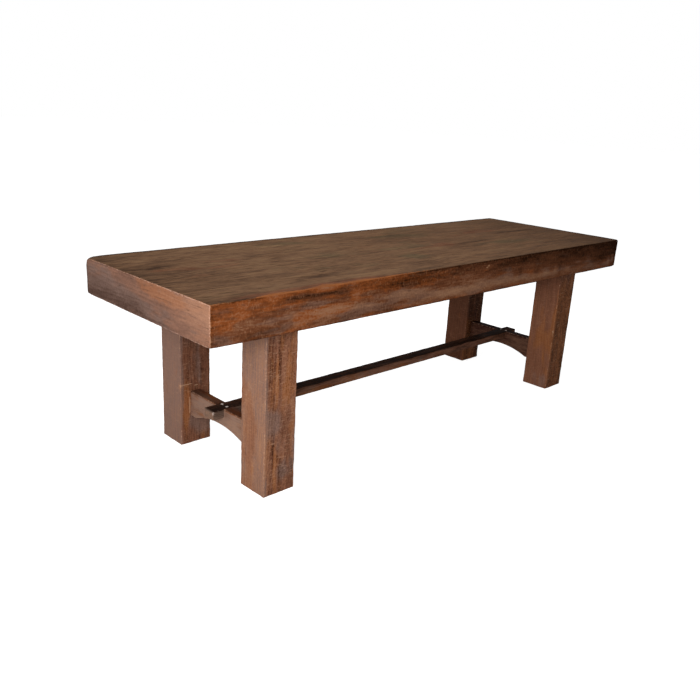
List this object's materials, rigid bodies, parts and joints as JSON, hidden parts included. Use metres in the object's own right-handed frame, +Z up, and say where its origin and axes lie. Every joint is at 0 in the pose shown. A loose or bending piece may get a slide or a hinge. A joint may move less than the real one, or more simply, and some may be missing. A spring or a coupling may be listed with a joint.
{
  "type": "dining table",
  "caption": "Rustic dining table: a thick built-up plank top with mitred skirts on square posts, joined by arched end stretchers and a centre stretcher screwed down into them.",
  "frame": {"origin": "centre of the table's plan at floor level", "axes": "+X along the length towards the right-hand end, +Y across it from the front to the back, +Z up"},
  "size_m": [2.5, 0.82, 0.762],
  "materials": {
    "top_wood": "waxed olive-brown stain, satin",
    "skirt_wood": "waxed rust-brown stain with rubbed edges",
    "leg_wood": "sawn face, rust-brown stain, waxed",
    "stretcher_wood": "dark brown stain, satin",
    "inner_wood": "sawn, thin brown stain",
    "fastener_steel": "zinc plated"
  },
  "bodies": {
    "root": {"top_plank_1": "top_wood", "top_plank_2": "top_wood", "top_plank_3": "top_wood", "top_plank_4": "top_wood", "top_plank_5": "top_wood", "skirt_front": "skirt_wood", "skirt_back": "skirt_wood", "skirt_left": "skirt_wood", "skirt_right": "skirt_wood", "corner_block_front_left": "inner_wood", "corner_block_front_right": "inner_wood", "corner_block_back_left": "inner_wood", "corner_block_back_right": "inner_wood", "cross_rail_left": "inner_wood", "cross_rail_right": "inner_wood", "batten_1": "inner_wood", "batten_2": "inner_wood", "batten_3": "inner_wood", "leg_front_left": "leg_wood", "leg_front_right": "leg_wood", "leg_back_left": "leg_wood", "leg_back_right": "leg_wood", "end_stretcher_left": "stretcher_wood", "end_stretcher_right": "stretcher_wood", "centre_stretcher": "stretcher_wood", "leg_bolts": "fastener_steel", "lap_screws": "fastener_steel", "plank_screws": "fastener_steel"}
  },
  "joints": []
}
